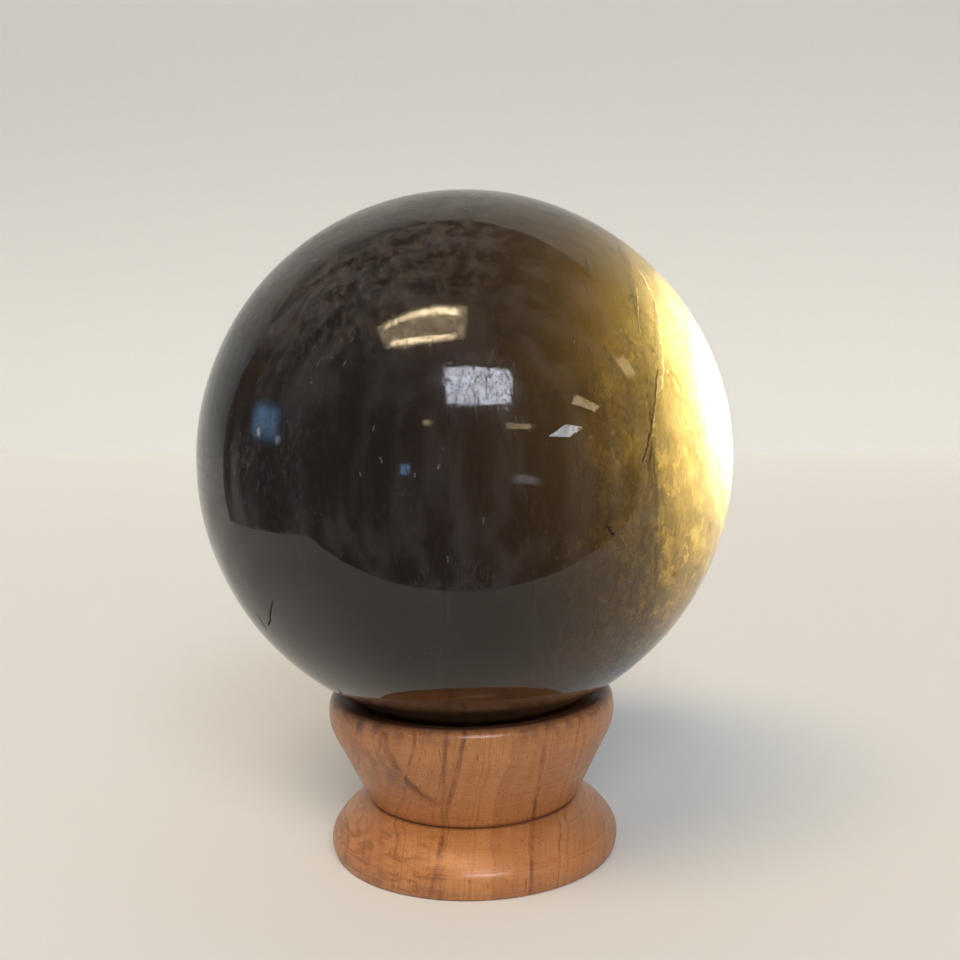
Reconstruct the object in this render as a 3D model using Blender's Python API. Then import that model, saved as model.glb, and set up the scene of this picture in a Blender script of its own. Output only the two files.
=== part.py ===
"""A polished stone ball resting on a small wooden stand turned from one piece."""

import math

import bmesh
import bpy

# Driving sizes, in metres. The origin is the middle of the stand's underside.

# The ball
BALL_DIAMETER = 0.0600
BALL_SIDES = 72
BALL_RINGS = 36

# The ball's seat: the ball touches one inner edge of the rim and nothing below it
SEAT_GAP = 0.0003
DISH_CLEARANCE = 0.0010

# The stand's foot, from the floor up
FOOT_DIAMETER = 0.0334
FOOT_BAND_HEIGHT = 0.0027
FOOT_BAND_BULGE = 0.00025
FOOT_CORNER = 0.0004
FOOT_HEIGHT = 0.0064
FOOT_SHOULDER_BULGE = 0.00048

# The waist, where a fine groove is cut
WAIST_DIAMETER = 0.0244
GROOVE_DEPTH = 0.0003
GROOVE_WIDTH = 0.0003

# The rim at the top of the flared cup
STAND_HEIGHT = 0.0186
RIM_DIAMETER = 0.0333
RIM_BAND_HEIGHT = 0.0040
RIM_BAND_BULGE = 0.00022
RIM_BAND_LEAN = 0.0003
RIM_CORNER = 0.0009
RIM_CORNER_BULGE = 0.00022
RIM_LEDGE_WIDTH = 0.0037
RIM_LEDGE_FALL = 0.0005

# How finely the turned outline is faceted
STAND_SIDES = 72
BAND_STEPS = 4
SHOULDER_STEPS = 5
CORNER_STEPS = 3
DISH_STEPS = 6

# Looks
STONE_COLOUR = (0.035, 0.026, 0.021, 1.0)
STONE_ROUGHNESS = 0.06
WOOD_COLOUR = (0.375, 0.155, 0.060, 1.0)
WOOD_ROUGHNESS = 0.34

# Places that follow from the sizes
FOOT_RADIUS = FOOT_DIAMETER / 2
RIM_RADIUS = RIM_DIAMETER / 2
BALL_RADIUS = BALL_DIAMETER / 2
SEAT_RADIUS = RIM_RADIUS - RIM_LEDGE_WIDTH
SEAT_HEIGHT = STAND_HEIGHT - RIM_LEDGE_FALL
BALL_HEIGHT = SEAT_HEIGHT + math.sqrt((BALL_RADIUS + SEAT_GAP) ** 2 - SEAT_RADIUS**2)
DISH_BOTTOM = BALL_HEIGHT - BALL_RADIUS - DISH_CLEARANCE


def clear_scene():
    """Remove what the file opens with."""
    for item in list(bpy.data.objects):
        bpy.data.objects.remove(item, do_unlink=True)


def finish(name, colour, roughness):
    """A plain material in the piece's own colour."""
    material = bpy.data.materials.new(name)
    material.use_nodes = True
    shader = material.node_tree.nodes["Principled BSDF"]
    shader.inputs["Base Color"].default_value = colour
    shader.inputs["Roughness"].default_value = roughness
    shader.inputs["Metallic"].default_value = 0.0
    return material


def bowed(start, end, bulge, steps):
    """Outline points after start up to end, bowed out to the right of the way by bulge."""
    along = (end[0] - start[0], end[1] - start[1])
    length = math.hypot(*along)
    outward = (along[1] / length, -along[0] / length)
    points = []
    for step in range(1, steps + 1):
        share = step / steps
        rise = 4 * bulge * share * (1 - share)
        radius = start[0] + share * along[0] + rise * outward[0]
        height = start[1] + share * along[1] + rise * outward[1]
        points.append((radius, height))
    return points


def foot_outline():
    """The foot from the middle of the underside to the lower edge of the groove."""
    band_radius = FOOT_RADIUS - FOOT_BAND_BULGE
    underside_edge = (band_radius - FOOT_CORNER, 0.0)
    band_bottom = (band_radius, FOOT_CORNER)
    band_top = (band_radius, FOOT_BAND_HEIGHT)
    groove_bottom = (WAIST_DIAMETER / 2, FOOT_HEIGHT - GROOVE_WIDTH / 2)
    corner_bulge = FOOT_CORNER * (1 - math.sqrt(0.5))
    points = [(0.0, 0.0), underside_edge]
    points += bowed(underside_edge, band_bottom, corner_bulge, CORNER_STEPS)
    points += bowed(band_bottom, band_top, FOOT_BAND_BULGE, BAND_STEPS)
    points += bowed(band_top, groove_bottom, FOOT_SHOULDER_BULGE, SHOULDER_STEPS)
    return points


def cup_outline():
    """The groove, the straight flare, the rounded rim and the ledge up to the seat's edge."""
    groove_root = (WAIST_DIAMETER / 2 - GROOVE_DEPTH, FOOT_HEIGHT)
    groove_top = (WAIST_DIAMETER / 2, FOOT_HEIGHT + GROOVE_WIDTH / 2)
    band_radius = RIM_RADIUS - RIM_BAND_BULGE
    band_bottom = (band_radius - RIM_BAND_LEAN, STAND_HEIGHT - RIM_BAND_HEIGHT)
    band_top = (band_radius, STAND_HEIGHT - RIM_CORNER)
    crest = (band_radius - RIM_CORNER, STAND_HEIGHT)
    points = [groove_root, groove_top, band_bottom]
    points += bowed(band_bottom, band_top, RIM_BAND_BULGE, BAND_STEPS)
    points += bowed(band_top, crest, RIM_CORNER_BULGE, CORNER_STEPS)
    points.append((SEAT_RADIUS, SEAT_HEIGHT))
    return points


def dish_outline():
    """The hollow below the ball, falling from the seat's edge to the axis."""
    depth = SEAT_HEIGHT - DISH_BOTTOM
    points = []
    for step in range(1, DISH_STEPS + 1):
        share = 1 - step / DISH_STEPS
        points.append((SEAT_RADIUS * share, DISH_BOTTOM + depth * share**2))
    return points


def turn(shape, outline, sides):
    """Turn an outline of radius and height once round the vertical axis."""
    corners = [shape.verts.new((radius, 0.0, height)) for radius, height in outline]
    edges = [shape.edges.new(pair) for pair in zip(corners, corners[1:])]
    bmesh.ops.spin(
        shape,
        geom=corners + edges,
        cent=(0.0, 0.0, 0.0),
        axis=(0.0, 0.0, 1.0),
        angle=math.tau,
        steps=sides,
        use_merge=True,
    )
    bmesh.ops.remove_doubles(shape, verts=shape.verts, dist=1e-6)
    bmesh.ops.recalc_face_normals(shape, faces=shape.faces)


def place(name, shape, height, material, crease):
    """Make the finished shape an object at its height on the axis."""
    mesh = bpy.data.meshes.new(name)
    shape.to_mesh(mesh)
    shape.free()
    mesh.materials.append(material)
    mesh.shade_smooth()
    mesh.set_sharp_from_angle(angle=crease)
    piece = bpy.data.objects.new(name, mesh)
    piece.location = (0.0, 0.0, height)
    bpy.context.scene.collection.objects.link(piece)
    return piece


def make_stand():
    """The stand, one piece of wood: foot, groove, flared cup and shallow dish."""
    shape = bmesh.new()
    turn(shape, foot_outline() + cup_outline() + dish_outline(), STAND_SIDES)
    wood = finish("wood", WOOD_COLOUR, WOOD_ROUGHNESS)
    return place("stand", shape, 0.0, wood, math.radians(32))


def make_ball():
    """The polished ball, held by its own weight in the stand."""
    shape = bmesh.new()
    bmesh.ops.create_uvsphere(shape, u_segments=BALL_SIDES, v_segments=BALL_RINGS, radius=BALL_RADIUS)
    stone = finish("stone", STONE_COLOUR, STONE_ROUGHNESS)
    return place("sphere", shape, BALL_HEIGHT, stone, math.radians(60))


clear_scene()
make_stand()
make_ball()
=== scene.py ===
import math
import random

import bmesh
import bpy
from mathutils import Matrix, Vector, geometry, noise


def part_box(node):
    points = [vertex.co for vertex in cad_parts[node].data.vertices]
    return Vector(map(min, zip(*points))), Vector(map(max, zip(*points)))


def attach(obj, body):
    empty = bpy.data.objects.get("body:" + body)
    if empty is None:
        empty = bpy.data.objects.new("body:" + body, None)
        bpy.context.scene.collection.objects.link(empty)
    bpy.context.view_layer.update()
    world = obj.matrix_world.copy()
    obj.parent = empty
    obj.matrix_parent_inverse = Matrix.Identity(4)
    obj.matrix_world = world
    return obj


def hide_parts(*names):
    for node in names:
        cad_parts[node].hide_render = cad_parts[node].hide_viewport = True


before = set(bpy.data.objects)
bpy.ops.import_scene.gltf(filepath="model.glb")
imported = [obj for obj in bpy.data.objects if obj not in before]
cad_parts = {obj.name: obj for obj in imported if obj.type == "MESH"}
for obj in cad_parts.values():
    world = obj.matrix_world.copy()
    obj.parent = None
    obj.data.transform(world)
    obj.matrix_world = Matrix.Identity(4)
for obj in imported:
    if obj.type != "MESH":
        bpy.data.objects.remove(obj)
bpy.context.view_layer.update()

MM = 0.001

# The ball. A solid ball of smoky quartz, sawn from one crystal, ground round and polished all over.
# It is clear brown stone that soaks up light within a few centimetres, so it looks almost black.
# Use has left fine scratches, smudges, a forked crack, a nick and a few pits in the polish.

ball_low, ball_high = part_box("sphere")
BALL_CENTRE = (ball_low + ball_high) / 2
BALL_RADIUS = (ball_high.z - ball_low.z) / 2
BALL_FINENESS = 7
QUARTZ_INDEX = 1.544
QUARTZ_TINT = (0.50, 0.41, 0.36, 1.0)
QUARTZ_SOAKS_UP = (110.0, 133.0, 216.0)  # red, green and blue light, per metre of stone
QUARTZ_DENSITY = 250.0
QUARTZ_CLARITY = 0.988
POLISH_ROUGHNESS = 0.015
SMUDGE_ROUGHNESS = 0.22
# Scuffed spots: a place in mm from the ball's centre, and the reach in mm
SCUFFED_SPOTS = [
    ((1.2, -28.0, 10.6), 8.5), ((-22.0, -20.0, 3.5), 3.4), ((-6.0, -25.0, 15.0), 7.0),
    ((-15.0, -8.3, 24.6), 10.0), ((-24.5, -11.0, 13.5), 7.0), ((-3.0, -11.0, 27.5), 8.0),
]
WAVE_DEPTH = 0.008
NICK_DEPTH = 0.05

# Marks in the polish: places in mm from the ball's centre, then width and depth in mm
CRACKS = [
    ([(-19.4, -19.5, -11.7), (-20.1, -17.6, -13.5), (-20.3, -16.8, -14.4), (-21.1, -14.3, -15.8)], 0.20, 0.14),
    ([(-21.1, -14.3, -15.8), (-21.5, -14.6, -15.0), (-21.9, -14.9, -14.1)], 0.16, 0.10),
    ([(19.1, -21.1, 9.6), (18.6, -22.5, 6.8), (18.3, -23.4, 4.6), (17.2, -24.5, 1.7)], 0.16, 0.04),
    ([(17.0, -6.8, 23.8), (17.7, -13.0, 20.4), (17.9, -16.0, 18.2), (17.7, -17.9, 16.4)], 0.12, 0.05),
    ([(14.6, -26.1, -2.3), (15.4, -25.4, -4.1), (16.6, -24.3, -5.8)], 0.12, 0.06),
    ([(13.9, -18.6, -19.0), (15.6, -16.5, -19.6), (16.2, -14.8, -20.4)], 0.14, 0.06),
    ([(-13.8, -13.9, -22.7), (-13.7, -12.6, -23.5)], 0.34, 0.12),
    ([(21.1, -18.8, -9.9), (20.8, -19.1, -10.1)], 0.36, 0.16),
    ([(16.9, -21.6, -12.0), (17.0, -21.4, -12.2)], 0.26, 0.10),
    ([(23.8, -18.2, 1.8), (23.7, -18.4, 1.5)], 0.26, 0.12),
]


def start_material(name):
    """A new material, its node tree, its shader and its output."""
    material = bpy.data.materials.new(name)
    material.use_nodes = True
    nodes = material.node_tree.nodes
    return material, material.node_tree, nodes["Principled BSDF"], nodes["Material Output"]


def add_node(tree, kind, plugs=None, **settings):
    """Add a shader node. Plugs are plain values, or other nodes' sockets to link."""
    node = tree.nodes.new("ShaderNode" + kind)
    for name, value in settings.items():
        setattr(node, name, value)
    for name, value in (plugs or {}).items():
        if isinstance(value, bpy.types.NodeSocket):
            tree.links.new(value, node.inputs[name])
        else:
            node.inputs[name].default_value = value
    return node


def on_piece(tree, centre=(0.0, 0.0, 0.0), turned=(0.0, 0.0, 0.0), stretched=(1.0, 1.0, 1.0)):
    """The piece's own coordinates, counted from a centre, turned and stretched."""
    place = add_node(tree, "TexCoord").outputs["Object"]
    shift = tuple(-value for value in centre)
    moved = add_node(tree, "Mapping", {"Vector": place, "Location": shift}).outputs[0]
    plugs = {"Vector": moved, "Rotation": turned, "Scale": stretched}
    return add_node(tree, "Mapping", plugs).outputs[0]


def grain(tree, place, size, detail=3.0, roughness=0.55, bend=0.0):
    """Cloudy noise from 0 to 1 whose clouds are about as wide as size, in mm."""
    plugs = {"Vector": place, "Scale": 1 / (size * MM), "Detail": detail, "Roughness": roughness}
    plugs["Distortion"] = bend
    return add_node(tree, "TexNoise", plugs).outputs[0]


def ramp(tree, value, low, high, to=(0.0, 1.0), smooth=True):
    """Spread the part of a value between low and high over the range to."""
    plugs = {"Value": value, "From Min": low, "From Max": high, "To Min": to[0], "To Max": to[1]}
    kind = "SMOOTHSTEP" if smooth else "LINEAR"
    return add_node(tree, "MapRange", plugs, interpolation_type=kind).outputs[0]


def sums(tree, operation, first, second):
    """One sum, such as ADD or MULTIPLY, of two values."""
    node = add_node(tree, "Math", operation=operation)
    for socket, value in zip(node.inputs, (first, second)):
        if isinstance(value, bpy.types.NodeSocket):
            tree.links.new(value, socket)
        else:
            socket.default_value = value
    return node.outputs[0]


def blend(tree, share, first, second, mode="MIX"):
    """Two colours blended by a share."""
    node = add_node(tree, "Mix", data_type="RGBA", blend_type=mode)
    for socket, value in zip((node.inputs[0], node.inputs[6], node.inputs[7]), (share, first, second)):
        if isinstance(value, bpy.types.NodeSocket):
            tree.links.new(value, socket)
        else:
            socket.default_value = value
    return node.outputs[2]


def bump(tree, height, depth, normal=None):
    """A bumped normal from a height of 0 to 1 that is depth mm deep."""
    plugs = {"Height": height, "Distance": depth * MM, "Strength": 1.0}
    if normal is not None:
        plugs["Normal"] = normal
    return add_node(tree, "Bump", plugs).outputs[0]


def finish_piece(name, shape, material, body="root"):
    """Make the finished shape an object that rides on a body of the part."""
    mesh = bpy.data.meshes.new(name)
    shape.to_mesh(mesh)
    shape.free()
    mesh.materials.append(material)
    mesh.shade_smooth()
    piece = bpy.data.objects.new(name, mesh)
    bpy.context.scene.collection.objects.link(piece)
    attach(piece, body)
    return piece


def scratches(tree, turned, size, low, high):
    """Straight fine scratches that all run one way."""
    place = on_piece(tree, BALL_CENTRE, turned, (1.0, 1.0, 0.06))
    return ramp(tree, grain(tree, place, size, detail=1.0), low, high)


def polished_quartz():
    """Clear brown stone. The polish carries smudges of fine scuffs, crossing hair scratches and
    short upright nicks."""
    material, tree, shader, output = start_material("polished smoky quartz")
    shader.inputs["Base Color"].default_value = QUARTZ_TINT
    shader.inputs["IOR"].default_value = QUARTZ_INDEX
    shader.inputs["Transmission Weight"].default_value = QUARTZ_CLARITY
    place = on_piece(tree)
    patches = ramp(tree, grain(tree, place, 7.0, detail=3.0), 0.48, 0.70, (0.0, 0.8))
    for spot, reach in SCUFFED_SPOTS:
        apart = {0: place, 1: BALL_CENTRE + Vector(spot) * MM}
        apart = add_node(tree, "VectorMath", apart, operation="DISTANCE").outputs["Value"]
        patches = sums(tree, "MAXIMUM", patches, ramp(tree, apart, 0.45 * reach * MM, reach * MM, (0.9, 0.0)))
    scuffs = ramp(tree, grain(tree, place, 0.85, detail=4.0, roughness=0.7, bend=1.5), 0.46, 0.68)
    hairs = sums(tree, "MAXIMUM", scratches(tree, (0.5, 0.9, 0.2), 0.15, 0.68, 0.76),
                 scratches(tree, (-0.8, 0.3, 1.4), 0.15, 0.69, 0.77))
    worn = sums(tree, "MULTIPLY", patches, sums(tree, "MAXIMUM", scuffs, hairs))
    rough = ramp(tree, worn, 0.0, 1.0, (POLISH_ROUGHNESS, SMUDGE_ROUGHNESS), smooth=False)
    tree.links.new(rough, shader.inputs["Roughness"])
    upright = on_piece(tree, BALL_CENTRE, (0.1, 0.25, 0.3), (1.0, 1.0, 0.30))
    back = add_node(tree, "SeparateXYZ", {0: on_piece(tree, BALL_CENTRE)}).outputs[1]
    whole = ramp(tree, back, -24 * MM, -17 * MM, (0.0, 0.12))
    chipped = sums(tree, "ADD", grain(tree, upright, 0.26, detail=3.0, bend=0.8), sums(tree, "MULTIPLY", patches, 0.12))
    nicks = ramp(tree, sums(tree, "SUBTRACT", chipped, whole), 0.63, 0.67, (1.0, 0.0))
    waves = grain(tree, on_piece(tree, stretched=(1.0, 1.0, 0.5)), 2.2, detail=4.0)
    normal = bump(tree, waves, WAVE_DEPTH)
    normal = bump(tree, nicks, NICK_DEPTH, normal)
    tree.links.new(normal, shader.inputs["Normal"])
    kept = tuple(1 - soaked / QUARTZ_DENSITY for soaked in QUARTZ_SOAKS_UP)
    body = add_node(tree, "VolumeAbsorption", {"Color": kept + (1.0,), "Density": QUARTZ_DENSITY})
    tree.links.new(body.outputs[0], output.inputs["Volume"])
    return material


def near_route(place, route):
    """How far a place is from a route of straight runs."""
    best = math.inf
    for start, end in zip(route, route[1:]):
        closest, share = geometry.intersect_point_line(place, start, end)
        closest = start.lerp(end, min(max(share, 0.0), 1.0))
        best = min(best, (place - closest).length)
    return best


def mark_ball(shape, places, width, depth):
    """Work a fine mark into the polish along a route, after making the mesh fine enough there."""
    route = [Vector(place).normalized() * BALL_RADIUS for place in places]
    middle = sum(route, Vector()) / len(route)
    reach = max((place - middle).length for place in route)
    half = width * MM / 2
    spread = 8 * half
    while spread > half:
        around = [v for v in shape.verts if (v.co - middle).length < reach + spread + 2 * half]
        close = {v for v in around if near_route(v.co, route) < spread + half}
        edges = [edge for edge in shape.edges if edge.verts[0] in close or edge.verts[1] in close]
        edges = [edge for edge in edges if edge.calc_length() > 0.7 * half]
        if not edges:
            break
        bmesh.ops.subdivide_edges(shape, edges=edges, cuts=1, use_grid_fill=True, use_single_edge=True)
        bmesh.ops.triangulate(shape, faces=[face for face in shape.faces if len(face.verts) > 4])
        spread *= 0.6
    for corner in shape.verts:
        if (corner.co - middle).length < reach + 4 * half:
            deep = depth * MM * math.exp(-((near_route(corner.co, route) / half) ** 2))
            corner.co = corner.co.normalized() * (BALL_RADIUS - deep)


def make_ball():
    """The ball with its cracks, nick and pits."""
    shape = bmesh.new()
    bmesh.ops.create_icosphere(shape, subdivisions=BALL_FINENESS, radius=BALL_RADIUS)
    for places, width, depth in CRACKS:
        mark_ball(shape, places, width, depth)
    bmesh.ops.translate(shape, verts=shape.verts, vec=BALL_CENTRE)
    return finish_piece("sphere_polished", shape, polished_quartz())


ball = make_ball()
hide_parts("sphere")

# The haze. Fine bubbles and needles too small to see make the whole stone a little milky, and
# carry light through it. It is a body of its own just under the polish. A denser cloud of the
# same lies high in the stone.

HAZE_DEPTH = 0.25
HAZE_DENSITY = 15.0
HAZE_COLOUR = (1.0, 0.97, 0.85, 1.0)
HAZE_FILM = 0.0
CLOUD_CENTRE = Vector((8.0, -10.0, 17.0))  # mm from the ball's centre
CLOUD_REACH = Vector((17.0, 10.0, 9.0))
CLOUD_DENSITY = 38.0


def milkiness(name, density):
    """A body of fine bubbles that scatters light and has no surface of its own."""
    material, tree, shader, output = start_material(name)
    shader.inputs["Base Color"].default_value = HAZE_COLOUR
    shader.inputs["Roughness"].default_value = 1.0
    shader.inputs["Specular IOR Level"].default_value = 0.0
    shader.inputs["Alpha"].default_value = HAZE_FILM
    plugs = {"Color": HAZE_COLOUR, "Density": density, "Anisotropy": 0.15}
    body = add_node(tree, "VolumeScatter", plugs)
    tree.links.new(body.outputs[0], output.inputs["Volume"])
    return material


def make_haze():
    """A ball of thin milkiness that fills the stone."""
    shape = bmesh.new()
    bmesh.ops.create_icosphere(shape, subdivisions=5, radius=BALL_RADIUS - HAZE_DEPTH * MM)
    bmesh.ops.translate(shape, verts=shape.verts, vec=BALL_CENTRE)
    return finish_piece("milky_haze", shape, milkiness("milky haze", HAZE_DENSITY))


def make_cloud():
    """The denser cloud, a long lumpy body."""
    shape = bmesh.new()
    bmesh.ops.create_icosphere(shape, subdivisions=5, radius=1.0)
    for corner in shape.verts:
        lump = 1.0 + 0.35 * noise.noise(corner.co * 1.6) + 0.12 * noise.noise(corner.co * 5.0)
        place = CLOUD_CENTRE + corner.co * CLOUD_REACH * lump
        place *= min(1.0, (BALL_RADIUS / MM - 2 * HAZE_DEPTH) / place.length)
        corner.co = BALL_CENTRE + place * MM
    return finish_piece("milky_cloud", shape, milkiness("milky cloud", CLOUD_DENSITY))


make_haze()
make_cloud()

# The healed cracks. Planes where the crystal split and grew together again lie across the stone,
# steep and nearly side by side. Trapped films of air and liquid make them pale and patchy.

VEIL_REACH = 28.6  # mm from the ball's centre
VEIL_PLACES = [22.6, 14.6, 11.2, 4.6, -4.5, -14.5]  # mm to the right
VEIL_CELL = 0.75
VEIL_COLOUR = (0.060, 0.056, 0.044, 1.0)
VEIL_OPACITY = 0.35
chance = random.Random(11)


def films(name, colour, size, low, high, opacity, stretched, shine, fading=None):
    """Patchy thin films that pass some of the light and scatter the rest to both sides. They can
    thin out away from a place: the place, where that starts and ends in mm, and what is left."""
    material, tree, shader, output = start_material(name)
    shader.inputs["Base Color"].default_value = colour
    shader.inputs["Roughness"].default_value = 0.4
    shader.inputs["Specular IOR Level"].default_value = shine
    place = on_piece(tree, BALL_CENTRE, (0.15, -0.2, 0.1), stretched)
    cloud = grain(tree, place, size, detail=3.0, roughness=0.7)
    patchy = ramp(tree, cloud, low, high, (0.0, opacity))
    if fading:
        middle, full, gone, left = fading
        apart = {0: on_piece(tree, BALL_CENTRE), 1: Vector(middle) * MM}
        apart = add_node(tree, "VectorMath", apart, operation="DISTANCE").outputs["Value"]
        patchy = sums(tree, "MULTIPLY", patchy, ramp(tree, apart, full * MM, gone * MM, (1.0, left)))
    through = add_node(tree, "BsdfTranslucent", {"Color": colour})
    film = add_node(tree, "MixShader", {0: 0.5, 1: shader.outputs[0], 2: through.outputs[0]})
    clear = add_node(tree, "BsdfTransparent")
    mixed = add_node(tree, "MixShader", {0: patchy, 1: clear.outputs[0], 2: film.outputs[0]})
    tree.links.new(mixed.outputs[0], output.inputs["Surface"])
    return material


def add_sheet(shape, across, facing, wave, seed, cell=VEIL_CELL, reach=VEIL_REACH):
    """Add a wavy sheet that crosses the ball at a place on its left to right line."""
    span = 2 * reach * MM
    steps = int(span / (cell * MM))
    made = bmesh.ops.create_grid(shape, x_segments=steps, y_segments=steps, size=span / 2)
    turn = facing @ Matrix.Rotation(math.radians(90), 3, "Y")
    lost = []
    for corner in made["verts"]:
        broad = noise.noise(Vector((corner.co.x * 70, corner.co.y * 70, seed)))
        fine = noise.noise(Vector((corner.co.x * 420, corner.co.y * 420, seed + 5)))
        height = wave * MM * (broad + 0.18 * fine)
        corner.co = turn @ Vector((corner.co.x, corner.co.y, height)) + Vector((across * MM, 0, 0))
        over = corner.co.length - reach * MM
        if over > cell * MM:
            lost.append(corner)
        elif over > 0:
            corner.co *= reach * MM / corner.co.length
    bmesh.ops.delete(shape, geom=lost, context="VERTS")


def leaning(amount):
    """A small turn, away from square to the left to right line."""
    tilt = Matrix.Rotation(chance.uniform(-amount, amount), 3, "Y")
    return Matrix.Rotation(chance.uniform(-amount, amount), 3, "Z") @ tilt


def make_veils():
    """All the healed cracks, as one piece."""
    shape = bmesh.new()
    for number, across in enumerate(VEIL_PLACES):
        add_sheet(shape, across, leaning(0.22), 2.6, 7.3 * number)
    bmesh.ops.translate(shape, verts=shape.verts, vec=BALL_CENTRE)
    film = films("healed crack", VEIL_COLOUR, 3.2, 0.47, 0.72, VEIL_OPACITY, (1.6, 1.0, 0.4), 0.3)
    return finish_piece("healed_cracks", shape, film)


make_veils()

# The open cracks. Two younger splits reach the polish at the right of the front. Their walls have
# come apart, so they mirror light like foil and cast the stone behind them into shade.

OPEN_CRACKS = [(18.9, 0.9, (-0.06, 0.10)), (17.0, 0.7, (0.06, -0.04))]  # mm across, wave, turns
CRACK_COLOUR = (0.16, 0.15, 0.115, 1.0)
CRACK_OPACITY = 0.4
STREAK_WAY = Vector((0.25, 0.10, -1.0)).normalized()
# Where they meet the polish: a route in mm from the ball's centre, how deep, how jagged
DIRTY_LINES = [
    ([(19.3, -20.3, 10.6), (19.1, -21.1, 9.6), (18.6, -22.5, 6.8), (18.2, -23.5, 4.6),
      (17.2, -24.5, 1.7)], 0.50, 0.004),
    ([(18.2, -23.5, 3.4), (18.0, -23.9, 1.9), (17.0, -24.6, 1.9)], 0.30, 0.004),
    ([(17.0, -6.8, 23.8), (17.7, -13.0, 20.4), (17.9, -16.0, 18.2), (17.7, -17.9, 16.4)], 0.20, 0.002),
    ([(-19.4, -19.5, -11.7), (-20.1, -17.6, -13.5), (-20.3, -16.8, -14.4), (-21.1, -14.3, -15.8)], 0.22, 0.003),
    ([(-21.1, -14.3, -15.8), (-21.5, -14.6, -15.0), (-21.9, -14.9, -14.1)], 0.22, 0.003),
    ([(13.4, -26.7, -3.6), (14.0, -26.2, -4.4), (14.3, -26.0, -4.9)], 0.5, 0.012),
]
FOIL_LINES = [
    ([(18.7, -11.5, 20.4), (19.8, -14.4, 17.3), (20.0, -17.9, 13.4), (20.0, -19.7, 10.5),
      (19.3, -21.5, 8.2)], 0.45, 0.007),
    ([(17.9, -15.2, 18.6), (17.6, -18.0, 16.0), (17.5, -20.0, 13.4)], 0.20, 0.004),
    ([(14.9, -25.6, -4.9), (15.6, -25.0, -6.0), (16.6, -24.0, -7.6)], 0.32, 0.001),
]
DIRT_COLOUR = (0.045, 0.028, 0.014, 1.0)
FOIL_COLOUR = (0.90, 0.86, 0.72, 1.0)


def add_ribbon(shape, places, top, depth, jag):
    """Add a ribbon that follows a route just under the polish and reaches inwards."""
    rows = []
    steps = 10
    for start, end in zip(places, places[1:]):
        for step in range(steps):
            way = Vector(start).lerp(Vector(end), step / steps).normalized()
            across = way.cross(STREAK_WAY).normalized()
            way = (way + across * chance.uniform(-jag, jag)).normalized()
            reach = depth * chance.uniform(0.5, 1.3)
            rows.append([way * (BALL_RADIUS - (top + reach * share) * MM) for share in (0.0, 1.0)])
    corners = [[shape.verts.new(place) for place in row] for row in rows]
    for row, after in zip(corners, corners[1:]):
        shape.faces.new((row[0], row[1], after[1], after[0]))


def make_crack_lines(name, routes, film):
    """The lines along which cracks meet the polish, as one piece."""
    shape = bmesh.new()
    for places, depth, jag in routes:
        add_ribbon(shape, places, 0.05, depth, jag)
    bmesh.ops.translate(shape, verts=shape.verts, vec=BALL_CENTRE)
    return finish_piece(name, shape, film)


def make_open_cracks():
    """Both open cracks, as one piece."""
    shape = bmesh.new()
    for number, (across, wave, turns) in enumerate(OPEN_CRACKS):
        turn = Matrix.Rotation(turns[0], 3, "Z") @ Matrix.Rotation(turns[1], 3, "Y")
        add_sheet(shape, across, turn, wave, 31.7 + 9 * number, cell=0.5, reach=29.9)
    bmesh.ops.translate(shape, verts=shape.verts, vec=BALL_CENTRE)
    film = films("open crack", CRACK_COLOUR, 2.0, 0.30, 0.55, CRACK_OPACITY, (1.0, 1.0, 0.6), 0.5)
    return finish_piece("open_cracks", shape, film)


make_open_cracks()
dirt = films("dirty crack", DIRT_COLOUR, 0.5, 0.15, 0.40, 1.0, (1.0, 1.0, 1.0), 0.2)
make_crack_lines("dirty_cracks", DIRTY_LINES, dirt)
foil = films("foil crack", FOIL_COLOUR, 0.5, 0.25, 0.50, 0.9, (1.0, 1.0, 1.0), 0.5)
make_crack_lines("foil_cracks", FOIL_LINES, foil)

# The crushed zone. Right of the open cracks the stone is shattered just under the polish into
# crumpled shells and loose leaves, which glitter like gold foil when light gets in.

SHELLS = [(28.9, 3.0), (27.2, 11.0), (25.0, 23.0)]  # mm from the ball's centre, and a seed
SHELL_FINENESS = 6
SHELL_CRUMPLE = 1.0
CRUSHED_COLOUR = (0.76, 0.68, 0.40, 1.0)
CRUSHED_OPACITY = 0.5
LEAF_COUNT = 260
LEAF_LENGTH = (0.8, 2.2)
LEAF_WIDTH = (0.25, 0.8)
LEAF_DEPTH = (0.4, 3.4)


def crushing(way):
    """How badly the stone is crushed this way from the centre: most at the lower right."""
    return 2.4 * way.x - 0.55 * way.z - 0.25 * way.y + 0.5 * noise.noise(way * 3.1) - 1.15


def add_crumpled_shell(shape, radius, seed):
    """Add a crumpled skin at a radius, wherever the stone is crushed."""
    made = bmesh.ops.create_icosphere(shape, subdivisions=SHELL_FINENESS, radius=radius * MM)
    lost = []
    for corner in made["verts"]:
        way = corner.co.normalized()
        if crushing(way) < 0:
            lost.append(corner)
            continue
        place = corner.co / MM
        place -= 0.62 * place.dot(STREAK_WAY) * STREAK_WAY
        lift = 0.0
        for share, size in ((1.0, 2.6), (0.6, 1.1), (0.35, 0.5)):
            ridge = abs(noise.noise(place / size + Vector((seed, 0, 0))))
            lift += share * (0.45 - 1.6 * ridge)
        corner.co += way * (SHELL_CRUMPLE * lift * MM)
    bmesh.ops.delete(shape, geom=lost, context="VERTS")


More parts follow.
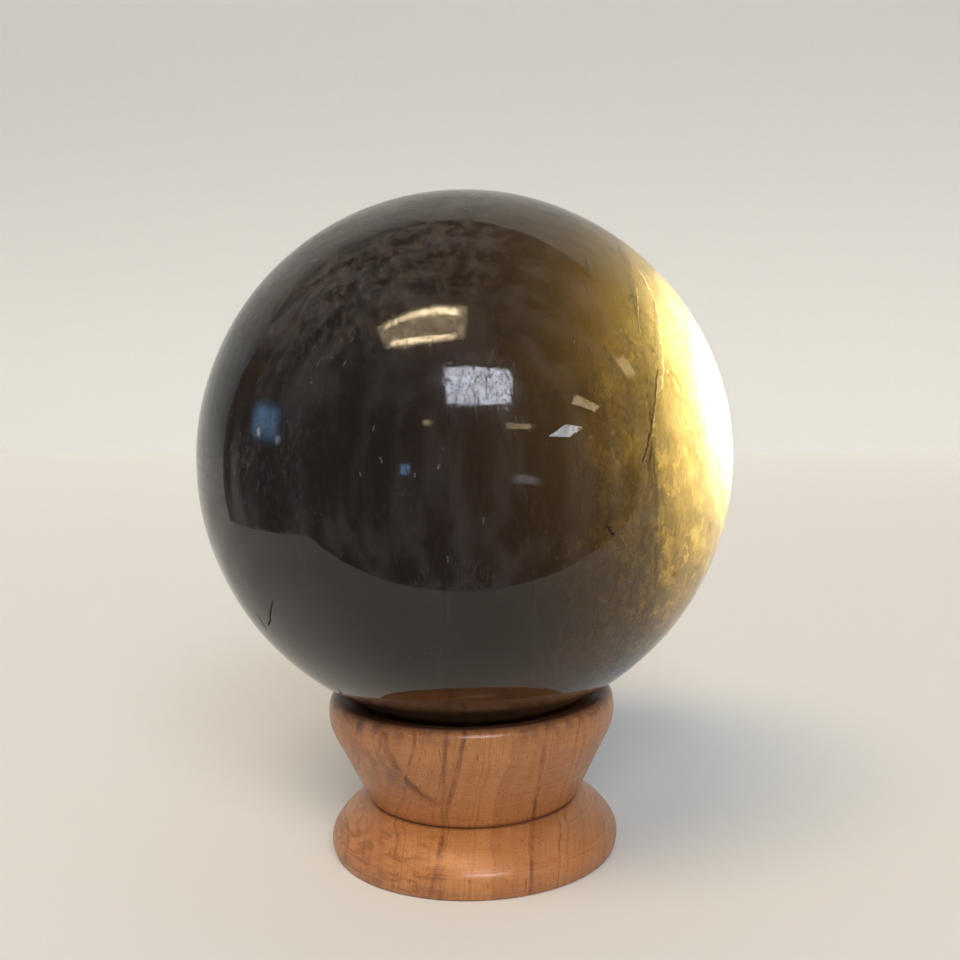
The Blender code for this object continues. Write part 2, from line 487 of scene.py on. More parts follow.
def add_leaf(shape, place, facing, length, width, crumple):
    """Add one small crumpled leaf that lies at a place, facing a way."""
    made = bmesh.ops.create_grid(shape, x_segments=3, y_segments=3, size=0.5)
    spin = Matrix.Rotation(chance.uniform(-0.5, 0.5), 3, "Z")
    turn = facing.to_track_quat("Z", "Y").to_matrix() @ spin
    for corner in made["verts"]:
        lift = chance.uniform(-crumple, crumple) * width
        flat = Vector((corner.co.x * width, corner.co.y * length, lift))
        corner.co = place + turn @ (flat * MM)


def make_crushed_zone():
    """The crumpled shells and the loose leaves between them, as one piece."""
    shape = bmesh.new()
    for radius, seed in SHELLS:
        add_crumpled_shell(shape, radius, seed)
    count = 0
    while count < LEAF_COUNT:
        way = Vector((chance.uniform(0.2, 1.0), chance.uniform(-1.0, 0.5), chance.uniform(-0.8, 0.6)))
        way.normalize()
        if crushing(way) < chance.uniform(-0.2, 0.9):
            continue
        place = way * (BALL_RADIUS - chance.uniform(*LEAF_DEPTH) * MM)
        facing = (way + Vector([chance.gauss(0, 0.45) for _ in range(3)])).normalized()
        add_leaf(shape, place, facing, chance.uniform(*LEAF_LENGTH), chance.uniform(*LEAF_WIDTH), 0.22)
        count += 1
    bmesh.ops.translate(shape, verts=shape.verts, vec=BALL_CENTRE)
    film = films("crushed stone", CRUSHED_COLOUR, 0.85, 0.47, 0.59, CRUSHED_OPACITY, (1.0, 1.0, 0.45), 0.5,
                 fading=((300.0, 0.0, 0.0), 284.0, 293.0, 0.5))
    return finish_piece("crushed_zone", shape, film)


make_crushed_zone()

# The bruises. Where knocks have crushed the polish without chipping it, tiny crumbs of white
# powdered stone fill the marks. Most lie in a patch high on the left.

BRUISE_PATCHES = [((-12.3, -22.8, 15.2), 3.2, 34), ((2.8, -27.7, 11.2), 2.2, 30), ((0.0, -24.0, 2.0), 30.0, 50)]
BRUISE_SPOTS = [(-1.5, -29.4, -6.0), (-2.1, -29.8, 2.7), (-12.1, -22.5, -15.6), (-5.0, -24.3, -16.8)]
BRUISE_SIZE = (0.05, 0.20)
BRUISE_COLOUR = (0.42, 0.39, 0.34, 1.0)


def make_bruises():
    """The crushed crumbs in the polish, as one piece."""
    shape = bmesh.new()
    spots = [(Vector(place) * MM, 0.26) for place in BRUISE_SPOTS]
    for place, spread, number in BRUISE_PATCHES:
        for _ in range(number):
            middle = Vector(place) + Vector([chance.gauss(0, spread) for _ in range(3)])
            if middle.y < 0:
                spots.append((middle * MM, chance.uniform(*BRUISE_SIZE)))
    for place, size in spots:
        way = place.normalized()
        length = size * chance.uniform(0.8, 4.0)
        add_leaf(shape, way * (BALL_RADIUS + 0.012 * MM), way, length, size, 0.06)
    bmesh.ops.translate(shape, verts=shape.verts, vec=BALL_CENTRE)
    film = films("bruised polish", BRUISE_COLOUR, 0.12, 0.35, 0.65, 0.45, (1.0, 1.0, 1.0), 0.3)
    return finish_piece("bruises", shape, film)


make_bruises()

# The smudge. Handling has left a thin brownish film of grease and fine dust on the upper left of the
# polish. It has no thickness to speak of, and dulls the stone only where it catches the light.

SMUDGE_MIDDLE = (-9.5, -13.0, 24.5)  # mm from the ball's centre
SMUDGE_REACH = 23.0
SMUDGE_LIFT = 0.02
SMUDGE_COLOUR = (0.52, 0.40, 0.29, 1.0)
SMUDGE_OPACITY = 0.15


def make_smudge():
    """The film, which fades out all round."""
    shape = bmesh.new()
    made = bmesh.ops.create_icosphere(shape, subdivisions=7, radius=BALL_RADIUS + SMUDGE_LIFT * MM)
    middle = Vector(SMUDGE_MIDDLE) * MM
    lost = [corner for corner in made["verts"] if (corner.co - middle).length > SMUDGE_REACH * MM]
    bmesh.ops.delete(shape, geom=lost, context="VERTS")
    bmesh.ops.translate(shape, verts=shape.verts, vec=BALL_CENTRE)
    film = films("grease and dust", SMUDGE_COLOUR, 1.1, 0.38, 0.68, SMUDGE_OPACITY, (1.0, 1.0, 0.6), 0.0,
                 fading=(SMUDGE_MIDDLE, 0.3 * SMUDGE_REACH, SMUDGE_REACH, 0.0))
    return finish_piece("smudge", shape, film)


make_smudge()

# The stand. A small waisted stand turned from one piece of reddish brown wood, with a fine groove
# cut at the waist and a shallow dish in the top. Two coats of clear varnish leave it satin.
# The ball lies loose on the inner edge of its rim.

FOOT_RADIUS = 16.70
FOOT_BAND_HEIGHT = 2.7
FOOT_BAND_BULGE = 0.25
FOOT_CORNER = 0.4
FOOT_HEIGHT = 6.4
FOOT_SHOULDER_BULGE = 0.48
WAIST_RADIUS = 12.20
GROOVE_DEPTH = 0.3
GROOVE_WIDTH = 0.3
STAND_HEIGHT = 18.6
RIM_RADIUS = 16.65
RIM_BAND_HEIGHT = 4.0
RIM_BAND_BULGE = 0.22
RIM_BAND_LEAN = 0.3
RIM_CORNER = 0.9
RIM_CORNER_BULGE = 0.22
RIM_LEDGE_WIDTH = 3.7
RIM_LEDGE_FALL = 0.5
DISH_CLEARANCE = 1.0
STAND_SIDES = 180
WOOD_PALE = (0.50, 0.212, 0.074, 1.0)
WOOD_MID = (0.345, 0.128, 0.042, 1.0)
WOOD_DARK = (0.120, 0.036, 0.014, 1.0)
WOOD_GREY = (0.190, 0.082, 0.050, 1.0)
# The dark of the grime on the rim's top, and of the painted shade in the dish under the ball:
WOOD_GRIME_AND_SHADE = (0.130, 0.052, 0.036, 1.0)
RING_WAY = (1.0, 0.098, -0.16)  # square to the growth rings
GROWTH_LINES = [(-3.4, 0.062), (-3.4, 0.225), (6.6, 0.10)]  # mm to the right at the groove, lean
KNOT_CENTRE = (2.0, 19.5)
KNOT_RADIUS = 11.4


def bowed(start, end, bulge, steps):
    """Outline points after start up to end, bowed out to the right of the way by bulge."""
    along = (end[0] - start[0], end[1] - start[1])
    length = math.hypot(*along)
    points = []
    for step in range(1, steps + 1):
        share = step / steps
        rise = 4 * bulge * share * (1 - share) / length
        radius = start[0] + share * along[0] + rise * along[1]
        points.append((radius, start[1] + share * along[1] - rise * along[0]))
    return points


def stand_outline():
    """The turned outline, from the middle of the underside up and over into the dish."""
    band = FOOT_RADIUS - FOOT_BAND_BULGE
    rim = RIM_RADIUS - RIM_BAND_BULGE
    seat = RIM_RADIUS - RIM_LEDGE_WIDTH
    seat_height = STAND_HEIGHT - RIM_LEDGE_FALL
    dish = (BALL_CENTRE.z - BALL_RADIUS) / MM - DISH_CLEARANCE
    half = GROOVE_WIDTH / 2
    points = [(0.0, 0.0), (band * 0.5, 0.0), (band - FOOT_CORNER, 0.0)]
    points += bowed(points[-1], (band, FOOT_CORNER), FOOT_CORNER * 0.29, 5)
    points += bowed(points[-1], (band, FOOT_BAND_HEIGHT), FOOT_BAND_BULGE, 8)
    points += bowed(points[-1], (WAIST_RADIUS, FOOT_HEIGHT - half), FOOT_SHOULDER_BULGE, 12)
    points += bowed(points[-1], (WAIST_RADIUS - GROOVE_DEPTH, FOOT_HEIGHT), 0.0, 3)
    points += bowed(points[-1], (WAIST_RADIUS, FOOT_HEIGHT + half), 0.0, 3)
    points += bowed(points[-1], (rim - RIM_BAND_LEAN, STAND_HEIGHT - RIM_BAND_HEIGHT), 0.0, 14)
    points += bowed(points[-1], (rim, STAND_HEIGHT - RIM_CORNER), RIM_BAND_BULGE, 8)
    points += bowed(points[-1], (rim - RIM_CORNER, STAND_HEIGHT), RIM_CORNER_BULGE, 7)
    points += bowed(points[-1], (seat, seat_height), 0.0, 4)
    for step in range(1, 9):
        share = 1 - step / 8
        points.append((seat * share, dish + (seat_height - dish) * share**2))
    return points


def lines(tree, along, spacing, detail=2.0, roughness=0.6):
    """Irregular lines from 0 to 1 across a length, about spacing mm apart."""
    plugs = {"W": along, "Scale": 1 / (spacing * MM), "Detail": detail, "Roughness": roughness}
    return add_node(tree, "TexNoise", plugs, noise_dimensions="1D").outputs[0]


def near(tree, value, middle, reach):
    """How near a length is to its middle: 1 there, and 0 from reach mm on."""
    off = add_node(tree, "Math", operation="ABSOLUTE")
    tree.links.new(sums(tree, "SUBTRACT", value, middle * MM), off.inputs[0])
    return ramp(tree, off.outputs[0], 0.0, reach * MM, (1.0, 0.0))


def varnished_wood():
    """Reddish wood with steep growth rings, fine pores and a knot's grey shadow at the left. The
    lathe has left fine level marks, and the varnish fills them only in part."""
    material, tree, shader, output = start_material("varnished wood")
    place = on_piece(tree)
    parts = add_node(tree, "SeparateXYZ", {0: place})
    right, height = parts.outputs[0], parts.outputs[2]
    dot = {0: place, 1: Vector(RING_WAY).normalized()}
    across = add_node(tree, "VectorMath", dot, operation="DOT_PRODUCT").outputs["Value"]
    wander = grain(tree, on_piece(tree, stretched=(1.0, 1.0, 0.4)), 5.0, detail=2.0)
    figure = grain(tree, on_piece(tree, stretched=(0.30, 0.30, 1.0)), 0.9, detail=3.0, bend=1.2)
    across = sums(tree, "ADD", across, ramp(tree, wander, 0.0, 1.0, (-1.2 * MM, 1.2 * MM), smooth=False))
    uneven = ramp(tree, figure, 0.3, 0.7, (-0.15, 0.15), smooth=False)
    broad = sums(tree, "ADD", lines(tree, across, 3.4, detail=1.0), uneven)
    fine = lines(tree, across, 0.55, detail=3.0, roughness=0.7)
    colour = blend(tree, ramp(tree, broad, 0.20, 0.85, (0.0, 0.75)), WOOD_PALE, WOOD_MID)
    colour = blend(tree, ramp(tree, fine, 0.44, 0.64, (0.0, 0.65)), colour, WOOD_MID)
    broken = ramp(tree, grain(tree, on_piece(tree, stretched=(1.0, 1.0, 0.35)), 1.4), 0.40, 0.62, (0.0, 0.5))
    rings = sums(tree, "MULTIPLY", ramp(tree, fine, 0.58, 0.70), broken)
    colour = blend(tree, rings, colour, WOOD_DARK)
    fibre = on_piece(tree, turned=(0.0, 0.13, 0.0), stretched=(1.0, 1.0, 0.10))
    fibre = grain(tree, fibre, 0.13, detail=2.0)
    colour = blend(tree, ramp(tree, fibre, 0.45, 0.72, (0.0, 0.80)), colour, WOOD_MID)
    left_foot = ramp(tree, height, 6.4 * MM, 5.0 * MM)
    left_foot = sums(tree, "MULTIPLY", ramp(tree, right, 0.0, -6 * MM), left_foot)
    figure = sums(tree, "MULTIPLY", ramp(tree, figure, 0.46, 0.62), left_foot)
    colour = blend(tree, sums(tree, "MULTIPLY", figure, 0.35), colour, WOOD_DARK)
    drop = sums(tree, "SUBTRACT", height, KNOT_CENTRE[1] * MM)
    side = sums(tree, "SUBTRACT", right, KNOT_CENTRE[0] * MM)
    flat = add_node(tree, "CombineXYZ", {0: side, 1: drop})
    away = add_node(tree, "VectorMath", {0: flat.outputs[0]}, operation="LENGTH").outputs["Value"]
    away = sums(tree, "ADD", away, ramp(tree, wander, 0.0, 1.0, (-0.8 * MM, 0.8 * MM), smooth=False))
    beside = ramp(tree, right, -1.5 * MM, -4.5 * MM)
    cloudy = ramp(tree, grain(tree, on_piece(tree, stretched=(1.0, 1.0, 0.5)), 1.3, detail=3.0), 0.35, 0.65)
    shadow = sums(tree, "MULTIPLY", ramp(tree, away, KNOT_RADIUS * MM, (KNOT_RADIUS + 0.5) * MM), beside)
    shadow = sums(tree, "MULTIPLY", shadow, near(tree, away, KNOT_RADIUS + 1.5, 5.0))
    shadow = sums(tree, "MULTIPLY", shadow, ramp(tree, height, 8 * MM, 13 * MM))
    shadow = sums(tree, "MULTIPLY", shadow, sums(tree, "MULTIPLY", cloudy, 0.8))
    colour = blend(tree, shadow, colour, WOOD_GREY)
    dark = sums(tree, "MULTIPLY", near(tree, away, KNOT_RADIUS, 0.7), beside)
    for start, lean in GROWTH_LINES:
        slope = sums(tree, "MULTIPLY", sums(tree, "SUBTRACT", height, FOOT_HEIGHT * MM), -lean)
        bent = sums(tree, "ADD", sums(tree, "ADD", right, slope), sums(tree, "MULTIPLY", wander, 1.0 * MM))
        dark = sums(tree, "MAXIMUM", dark, sums(tree, "MULTIPLY", near(tree, bent, start + 0.5, 0.42), 0.8))
    pores = grain(tree, on_piece(tree, turned=(0.0, 0.11, 0.0), stretched=(1.0, 1.0, 0.13)), 0.26, detail=1.0)
    dashes = ramp(tree, pores, 0.66, 0.73)
    dark = sums(tree, "MULTIPLY", dark, ramp(tree, cloudy, 0.0, 1.0, (0.35, 0.9)))
    dark = sums(tree, "MAXIMUM", dark, sums(tree, "MULTIPLY", dashes, 0.55))
    # The groove at the waist is drawn as a dark line: painted shade in its cut.
    dark = sums(tree, "MAXIMUM", dark, near(tree, height, FOOT_HEIGHT, 0.25))
    colour = blend(tree, dark, colour, WOOD_DARK)
    level = add_node(tree, "CombineXYZ", {0: right, 1: parts.outputs[1]}).outputs[0]
    radius = add_node(tree, "VectorMath", {0: level}, operation="LENGTH").outputs["Value"]
    # The dish is darkened near and under the ball with painted shade that the ball casts. Grime darkens the top of the
    # rim.
    seat = sums(tree, "MULTIPLY", ramp(tree, radius, 16.5 * MM, 15.0 * MM), ramp(tree, height, 17 * MM, 18 * MM))
    seat = sums(tree, "MULTIPLY", seat, ramp(tree, radius, 13.4 * MM, 14.6 * MM, (0.35, 1.0)))
    grime = sums(tree, "MULTIPLY", ramp(tree, height, 16.6 * MM, 18.3 * MM), ramp(tree, cloudy, 0.2, 1.0, (0.0, 0.6)))
    seat = sums(tree, "MAXIMUM", sums(tree, "MULTIPLY", seat, 0.85), grime)
    colour = blend(tree, seat, colour, WOOD_GRIME_AND_SHADE)
    turned = lines(tree, height, 0.20)
    colour = blend(tree, ramp(tree, turned, 0.50, 0.75, (0.0, 0.13)), colour, WOOD_MID)
    tree.links.new(colour, shader.inputs["Base Color"])
    rough = ramp(tree, turned, 0.35, 0.65, (0.27, 0.40))
    tree.links.new(rough, shader.inputs["Roughness"])
    relief = sums(tree, "SUBTRACT", sums(tree, "ADD", turned, sums(tree, "MULTIPLY", fine, 0.6)), dashes)
    tree.links.new(bump(tree, relief, 0.007), shader.inputs["Normal"])
    return material


def make_stand():
    """The stand, turned on the lathe."""
    shape = bmesh.new()
    corners = [shape.verts.new((radius * MM, 0.0, height * MM)) for radius, height in stand_outline()]
    edges = [shape.edges.new(pair) for pair in zip(corners, corners[1:])]
    bmesh.ops.spin(
        shape,
        geom=corners + edges,
        cent=(0.0, 0.0, 0.0),
        axis=(0.0, 0.0, 1.0),
        angle=math.tau,
        steps=STAND_SIDES,
        use_merge=True,
    )
    bmesh.ops.remove_doubles(shape, verts=shape.verts, dist=1e-6)
    bmesh.ops.recalc_face_normals(shape, faces=shape.faces)
    return finish_piece("stand_turned", shape, varnished_wood())


stand = make_stand()
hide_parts("stand")

# The ground. A sheet of pale matt paper lies on the table under the stand. Its colour is painted lighter further back,
# as painted light and shade. A pale wall stands on it behind, a little askew, with painted shade that darkens it
# upwards. The table round the paper is as pale.

# The paper itself is one even colour. The floor is painted lighter further back and the wall darker higher up, as
# painted light and shade.
PAPER_FLOOR = (0.755, 0.735, 0.695, 1.0)
PAPER_FLOOR_FAR_LIT = (0.875, 0.855, 0.815, 1.0)
PAPER_WALL = (0.79, 0.785, 0.745, 1.0)
PAPER_WALL_HIGH_SHADED = (0.585, 0.585, 0.565, 1.0)
PAPER_WALL_TOP = 0.20
PAPER_FRONT = -0.061
PAPER_LEFT = [(-0.115, -0.061), (-0.143, -0.009), (-0.165, 0.059), (-1.30, 0.66)]
TABLE_SIZE = 2.6
SHADE_STARTS = 0.30
SHADE_ENDS = 0.75
WALL_MIDDLE = Vector((0.0019, 0.4256, 0.0))
WALL_WAY = Vector((0.9750, -0.2222, 0.0)).normalized()
WALL_LEFT = 1.56
WALL_RIGHT = 1.05
WALL_HEIGHT = 0.80


def matt_paper(name, first, last, axis, low, high):
    """Plain pale paper with hardly any grain. Its colour goes from first to last along an axis, as painted light and
    shade, and it lies in shade far to the right, which only the polish shows."""
    material, tree, shader, output = start_material(name)
    place = add_node(tree, "TexCoord").outputs["Object"]
    parts = add_node(tree, "SeparateXYZ", {0: place})
    share = ramp(tree, parts.outputs[axis], low, high)
    mottle = grain(tree, place, 3.0, detail=2.0)
    share = sums(tree, "ADD", share, ramp(tree, mottle, 0.0, 1.0, (-0.04, 0.04), smooth=False))
    colour = blend(tree, share, first, last)
    shade = ramp(tree, parts.outputs[0], SHADE_STARTS, SHADE_ENDS, (0.0, 0.8))
    path = add_node(tree, "LightPath").outputs
    # What the polish mirrors of the paper is darkened in broad patches: painted shade that only reflections show.
    uneven = ramp(tree, grain(tree, place, 75.0, detail=4.0), 0.35, 0.65, (0.0, 0.19))
    shade = sums(tree, "MAXIMUM", shade, sums(tree, "MULTIPLY", path["Is Glossy Ray"], uneven))
    shade = sums(tree, "MULTIPLY", shade, sums(tree, "SUBTRACT", 1.0, path["Is Camera Ray"]))
    tree.links.new(blend(tree, shade, colour, (0.0, 0.0, 0.0, 1.0)), shader.inputs["Base Color"])
    shader.inputs["Roughness"].default_value = 0.95
    shader.inputs["Specular IOR Level"].default_value = 0.2
    return material


def make_backing(name, shape, material):
    """A piece of the ground or the room, which is no part of the object."""
    mesh = bpy.data.meshes.new(name)
    shape.to_mesh(mesh)
    shape.free()
    mesh.materials.append(material)
    backing = bpy.data.objects.new(name, mesh)
    bpy.context.scene.collection.objects.link(backing)
    return backing


def wall_foot(along):
    """The place on the wall's foot that lies this far to the right."""
    return WALL_MIDDLE + WALL_WAY * along


def make_ground():
    """The paper, the table round it, and the wall."""
    floor = matt_paper("matt paper floor", PAPER_FLOOR, PAPER_FLOOR_FAR_LIT, 1, 0.02, 0.42)
    right, left = wall_foot(WALL_RIGHT), wall_foot(-WALL_LEFT)
    shape = bmesh.new()
    outline = [(right.x, PAPER_FRONT), right.xy, left.xy] + PAPER_LEFT[::-1]
    shape.faces.new([shape.verts.new((x, y, 0.0)) for x, y in outline])
    bmesh.ops.recalc_face_normals(shape, faces=shape.faces)
    make_backing("paper_floor", shape, floor)
    shape = bmesh.new()
    bmesh.ops.create_grid(shape, x_segments=8, y_segments=8, size=TABLE_SIZE)
    bmesh.ops.translate(shape, verts=shape.verts, vec=(0.0, 0.0, -0.0004))
    table = make_backing("table", shape, floor)
    table.visible_glossy = False
    shape = bmesh.new()
    edge = shape.edges.new([shape.verts.new(place) for place in (left, right)])
    made = bmesh.ops.extrude_edge_only(shape, edges=[edge])["geom"]
    moved = [item for item in made if isinstance(item, bmesh.types.BMVert)]
    bmesh.ops.translate(shape, verts=moved, vec=(0.0, 0.0, WALL_HEIGHT))
    wall = matt_paper("matt paper wall", PAPER_WALL, PAPER_WALL_HIGH_SHADED, 2, 0.0, PAPER_WALL_TOP)
    make_backing("paper_wall", shape, wall)


make_ground()

# The light. A small lamp shines into the right side of the stone from just under the polish. The
# room is lit by a ceiling lamp with two tubes, a window in front and daylight at the left.

# Lamps under the polish: a name, the way from the ball's centre, depth and width in mm, power, colour
GLOWS = [
    ("glow", Vector((0.974, -0.03, 0.225)).normalized(), 1.0, 14.0, 2.05, (0.78, 0.84, 1.00)),
    ("glow core", Vector((0.97, -0.12, 0.20)).normalized(), 0.5, 9.0, 1.1, (0.33, 0.68, 2.30)),
]
WARM = (1.0, 0.78, 0.48)
COOL = (0.86, 0.92, 1.0)
BLUE = (0.32, 0.60, 1.0)
# Lamps that light the scene: a name, its middle, width and height in metres, how bright, its colour
LAMPS = [
    ("ceiling lamp", (-0.38, -0.70, 1.36), (0.88, 0.46), 9.1, WARM),
    ("window", (0.21, -1.40, 1.07), (0.85, 0.55), 11.2, COOL),
    ("daylight left", (-1.50, 0.0, 0.37), (0.60, 0.36), 2.3, (0.60, 0.78, 1.0)),
]
# What shows of the room in the polish: a name, the places along its upper edge from left to right
# in metres, the same along its lower edge, how bright, its colour, and the softness of its edges
MIRRORED = [
    ("tube back", [(-0.79, -0.585, 1.34), (-0.33, -0.475, 1.34), (0.05, -0.54, 1.34)],
     [(-0.773, -0.635, 1.34), (-0.348, -0.57, 1.34), (0.045, -0.635, 1.34)], 26.0, WARM, 0.15),
    ("tube front", [(-0.776, -0.765, 1.34), (-0.395, -0.83, 1.34), (0.0, -0.83, 1.34)],
     [(-0.80, -0.86, 1.34), (-0.41, -0.92, 1.34), (0.0, -0.91, 1.34)], 26.0, WARM, 0.15),
    ("tray", [(-0.82, -0.55, 1.36), (-0.33, -0.44, 1.36), (0.09, -0.50, 1.36)],
     [(-0.85, -0.90, 1.36), (-0.42, -0.99, 1.36), (0.08, -0.95, 1.36)], 4.0, WARM, 0.06),
    ("window pane", [(-0.229, -1.4, 1.356), (0.26, -1.4, 1.34), (0.66, -1.4, 1.31)],
     [(-0.182, -1.4, 0.79), (0.20, -1.4, 0.765), (0.555, -1.4, 0.80)], 11.5, (0.88, 0.92, 1.05), 0.03),
    ("window frame", [(-0.40, -1.45, 1.62), (0.30, -1.45, 1.56), (0.86, -1.45, 1.42)],
     [(-0.30, -1.45, 0.70), (0.25, -1.45, 0.62), (0.78, -1.45, 0.70)], 1.5, COOL, 0.30),
    ("daylight left", [(-1.5, 0.42, 0.52), (-1.5, 0.05, 0.60), (-1.5, -0.30, 0.64)],
     [(-1.5, 0.30, 0.14), (-1.5, -0.05, 0.13), (-1.5, -0.46, 0.15)], 2.6, BLUE, 0.40),
    ("daylight spot far", [(-1.49, 0.17, 0.33), (-1.49, 0.02, 0.36)],
     [(-1.49, 0.10, 0.20), (-1.49, 0.0, 0.18)], 4.2, (0.75, 0.88, 1.0), 0.45),
    ("daylight spot near", [(-1.49, -0.12, 0.31), (-1.49, -0.30, 0.34)],
     [(-1.49, -0.16, 0.19), (-1.49, -0.33, 0.20)], 3.6, (0.75, 0.88, 1.0), 0.45),
    ("daylight low", [(-0.68, -1.4, 0.20), (-0.49, -1.4, 0.19)],
     [(-0.70, -1.4, 0.02), (-0.50, -1.4, 0.02)], 3.4, BLUE, 0.35),
    ("small lamp", [(-0.447, -1.4, 0.644), (-0.294, -1.4, 0.632)],
     [(-0.418, -1.4, 0.529), (-0.30, -1.4, 0.521)], 4.8, WARM, 0.35),
    ("shelf lamp", [(0.41, -1.4, 0.580), (0.86, -1.4, 0.571)],
     [(0.40, -1.4, 0.500), (0.76, -1.4, 0.488)], 4.6, WARM, 0.20),
    ("side window", [(1.30, -1.4, 0.620), (1.72, -1.4, 0.606)],
     [(0.94, -1.4, 0.425), (1.31, -1.4, 0.430)], 8.5, COOL, 0.06),
    ("side lamp", [(1.70, -1.4, 1.16), (2.55, -1.4, 1.10)],
     [(1.50, -1.4, 0.945), (2.20, -1.4, 0.925)], 5.2, WARM, 0.08),
    ("far lamp", [(1.4, -0.33, 1.02), (1.4, -0.10, 0.96)],
     [(1.4, -0.27, 0.68), (1.4, -0.07, 0.66)], 3.6, WARM, 0.25),
    ("tiny lamp", [(1.80, -1.4, 0.50), (1.99, -1.4, 0.50)],
     [(1.79, -1.4, 0.445), (1.94, -1.4, 0.44)], 5.0, WARM, 0.30),
    ("low streak", [(0.34, -1.4, 0.06), (0.66, -1.4, 0.06), (0.96, -1.4, -0.10)],
     [(0.38, -1.4, -0.16), (0.60, -1.4, -0.10), (0.92, -1.4, -0.20)], 1.5, (0.92, 0.86, 1.0), 0.40),
]
MIRRORED += [
    ("upper wall", [(-1.50, 0.74, 1.45), (-0.6, 0.53, 1.40), (0.3, 0.33, 1.30)],
     [(-1.50, 0.74, 0.55), (-0.6, 0.53, 0.50), (0.3, 0.33, 0.50)], 0.34, (1.0, 0.90, 0.80), 0.42),
    ("brown door", [(-1.52, 0.75, 1.15), (-1.62, 0.30, 1.15)],
     [(-1.52, 0.75, 0.0), (-1.62, 0.30, 0.0)], 0.17, (1.0, 0.66, 0.50), 0.35),
]
ROOM_PALE = (0.62, 0.60, 0.57, 1.0)
ROOM_SOFT = (0.29, 0.325, 0.38, 1.0)
ROOM_DIM = (0.145, 0.125, 0.120, 1.0)
ROOM_GREY = (0.47, 0.42, 0.40, 1.0)


def hang(name, light, place, facing):
    """Put a lamp at its place, shining opposite to facing. It shows in nothing."""
    lamp = bpy.data.objects.new(name, light)
    bpy.context.scene.collection.objects.link(lamp)
    lamp.location = place
    lamp.rotation_euler = facing.to_track_quat("Z", "Y").to_euler()
    lamp.visible_camera = False
    lamp.visible_glossy = False
    lamp.visible_transmission = False


def light_stone():
    """The lamp under the polish, with a cooler core. Only what they light shows, never a lamp."""
    for name, way, depth, width, power, colour in GLOWS:
        light = bpy.data.lights.new(name, "AREA")
        light.shape = "DISK"
        light.size = width * MM
        light.energy = power
        light.color = colour
        hang(name, light, BALL_CENTRE + way * (BALL_RADIUS - depth * MM), way)


def light_scene():
    """The ceiling lamp, the window and the daylight."""
    for name, place, (width, height), bright, colour in LAMPS:
        light = bpy.data.lights.new(name, "AREA")
        light.shape = "RECTANGLE"
        light.size = width
        light.size_y = height
        light.energy = bright * math.pi * width * height
        light.color = colour
        hang(name, light, Vector(place), Vector(place) - BALL_CENTRE)


def along_edge(places, share):
    """The place at a share of an edge, given by its ends or by its ends and its middle."""
    places = [Vector(place) for place in places]
    if len(places) == 2:
        return places[0].lerp(places[1], share)
    first, middle, last = places
    bow = middle - (first + last) / 2
    return first.lerp(last, share) + 4 * share * (1 - share) * bow


def mirrored_light(name, bright, colour, softness):
    """A glowing panel that fades towards its edges and has a slightly uneven brightness."""
    material, tree, shader, output = start_material(name)
    tree.nodes.remove(shader)
    sides = add_node(tree, "SeparateXYZ", {0: add_node(tree, "UVMap").outputs[0]})
    fade = None
    for side in sides.outputs[:2]:
        inward = sums(tree, "MINIMUM", side, sums(tree, "SUBTRACT", 1.0, side))
        risen = ramp(tree, inward, 0.0, softness)
        fade = risen if fade is None else sums(tree, "MULTIPLY", fade, risen)
    uneven = ramp(tree, grain(tree, on_piece(tree), 160.0, detail=2.0), 0.3, 0.7, (0.75, 1.15))
    strength = sums(tree, "MULTIPLY", sums(tree, "MULTIPLY", fade, uneven), bright)
    plugs = {"Color": colour + (1.0,), "Strength": strength}
    glow = add_node(tree, "Emission", plugs)
    clear = add_node(tree, "BsdfTransparent")
    mixed = add_node(tree, "MixShader", {0: fade, 1: clear.outputs[0], 2: glow.outputs[0]})
    tree.links.new(mixed.outputs[0], output.inputs["Surface"])
    material.cycles.emission_sampling = "NONE"
    return material


def hang_mirrored():
    """The panels that show in the polish and in nothing else."""
    for name, upper, lower, bright, colour, softness in MIRRORED:
        shape = bmesh.new()
        bmesh.ops.create_grid(shape, x_segments=12, y_segments=2, size=0.5)
        sides = shape.loops.layers.uv.new("sides")
        for face in shape.faces:
            for loop in face.loops:
                loop[sides].uv = (loop.vert.co.x + 0.5, loop.vert.co.y + 0.5)
        for corner in shape.verts:
            share = corner.co.x + 0.5
            low, high = along_edge(lower, share), along_edge(upper, share)
            corner.co = low.lerp(high, corner.co.y + 0.5)
        piece = make_backing("mirrored_" + name.replace(" ", "_"), shape,
                             mirrored_light(name, bright, colour, softness))
        piece.visible_camera = False
        piece.visible_diffuse = False
        piece.visible_shadow = False


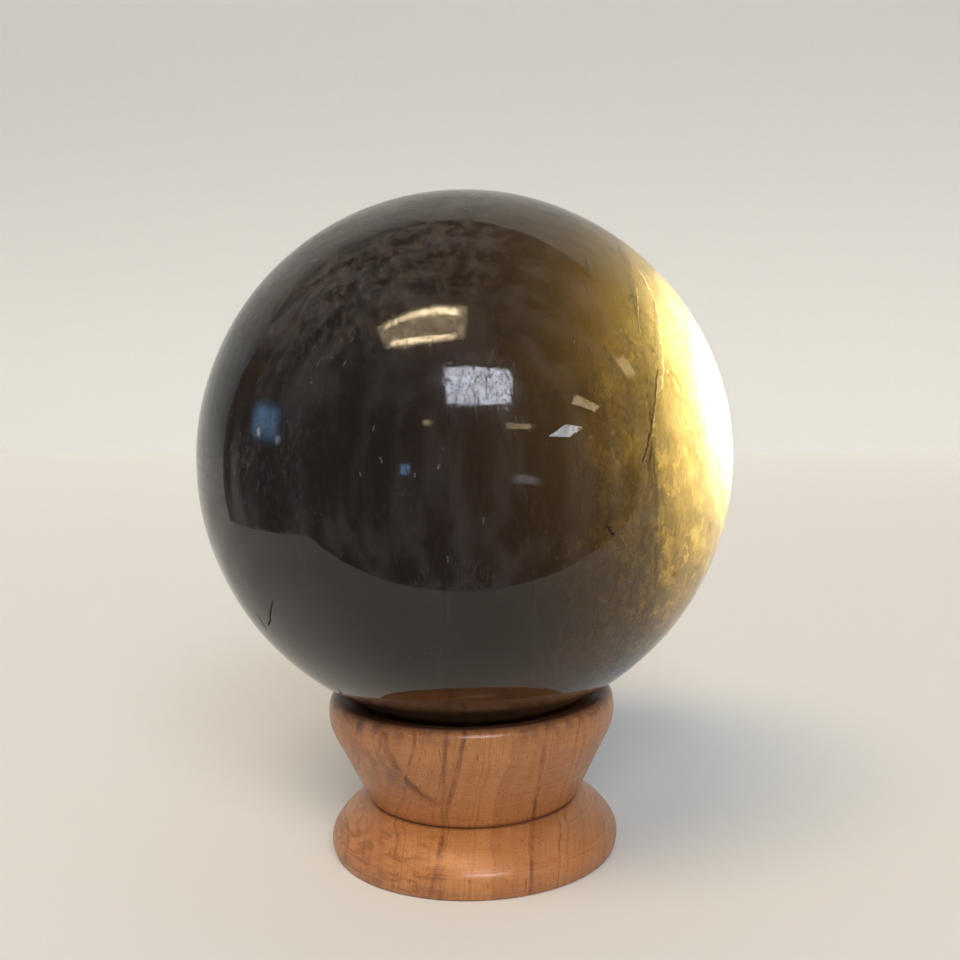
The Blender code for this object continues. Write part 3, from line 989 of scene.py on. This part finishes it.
def light_world():
    """The dim room. In the polish it shows as soft upright bands of furniture and shelves."""
    world = bpy.data.worlds.new("room")
    bpy.context.scene.world = world
    world.use_nodes = True
    world.cycles.sampling_method = "NONE"
    tree = world.node_tree
    path = add_node(tree, "LightPath")
    way = add_node(tree, "TexCoord").outputs["Generated"]
    upright = add_node(tree, "Mapping", {"Vector": way, "Scale": (1.0, 1.0, 0.22)}).outputs[0]
    bands = add_node(tree, "TexNoise", {"Vector": upright, "Scale": 5.5, "Detail": 4.0}).outputs[0]
    dark = blend(tree, ramp(tree, bands, 0.40, 0.66), ROOM_DIM, ROOM_GREY)
    unseen = sums(tree, "MAXIMUM", path.outputs["Is Glossy Ray"], path.outputs["Is Transmission Ray"])
    colour = blend(tree, unseen, ROOM_SOFT, dark)
    colour = blend(tree, path.outputs["Is Camera Ray"], colour, ROOM_PALE)
    tree.links.new(colour, tree.nodes["Background"].inputs["Color"])


light_stone()
light_scene()
hang_mirrored()
light_world()

# The camera. It looks slightly down on the ball from 148 mm, held a touch askew, with the lens
# that gives the photograph's outlines of the ball and the stand.

CAMERA_FOCUS = 1300 / 960
CAMERA_DOWN = math.radians(7.37)
CAMERA_ROLL = math.radians(-1.42)
CAMERA_DISTANCE = 0.14836
BALL_RIGHT_OF_MIDDLE = (465.1 - 480) / 1300
BALL_ABOVE_MIDDLE = (480 - 458.6) / 1300


def make_camera():
    """The camera that the picture is taken with."""
    lens = bpy.data.cameras.new("camera")
    lens.sensor_width = 36.0
    lens.lens = CAMERA_FOCUS * lens.sensor_width
    lens.clip_start = 0.005
    lens.clip_end = 10.0
    camera = bpy.data.objects.new("camera", lens)
    bpy.context.scene.collection.objects.link(camera)
    tilt = Matrix.Rotation(math.radians(90) - CAMERA_DOWN, 3, "X")
    turn = tilt @ Matrix.Rotation(CAMERA_ROLL, 3, "Z")
    sight = Vector((BALL_RIGHT_OF_MIDDLE, BALL_ABOVE_MIDDLE, -1.0)).normalized()
    place = BALL_CENTRE - CAMERA_DISTANCE * (turn @ sight)
    camera.matrix_world = Matrix.Translation(place) @ turn.to_4x4()
    bpy.context.scene.camera = camera
    print("camera at", [round(value, 5) for value in place])


make_camera()
bpy.context.scene.view_settings.view_transform = "Standard"
bpy.context.scene.cycles.transparent_max_bounces = 32
bpy.context.scene.cycles.caustics_refractive = False
bpy.context.scene.cycles.caustics_reflective = False
bpy.context.scene.cycles.use_light_tree = False
bpy.context.scene.cycles.max_bounces = 6
bpy.context.scene.cycles.diffuse_bounces = 3
bpy.context.scene.cycles.glossy_bounces = 2
bpy.context.scene.cycles.transmission_bounces = 4
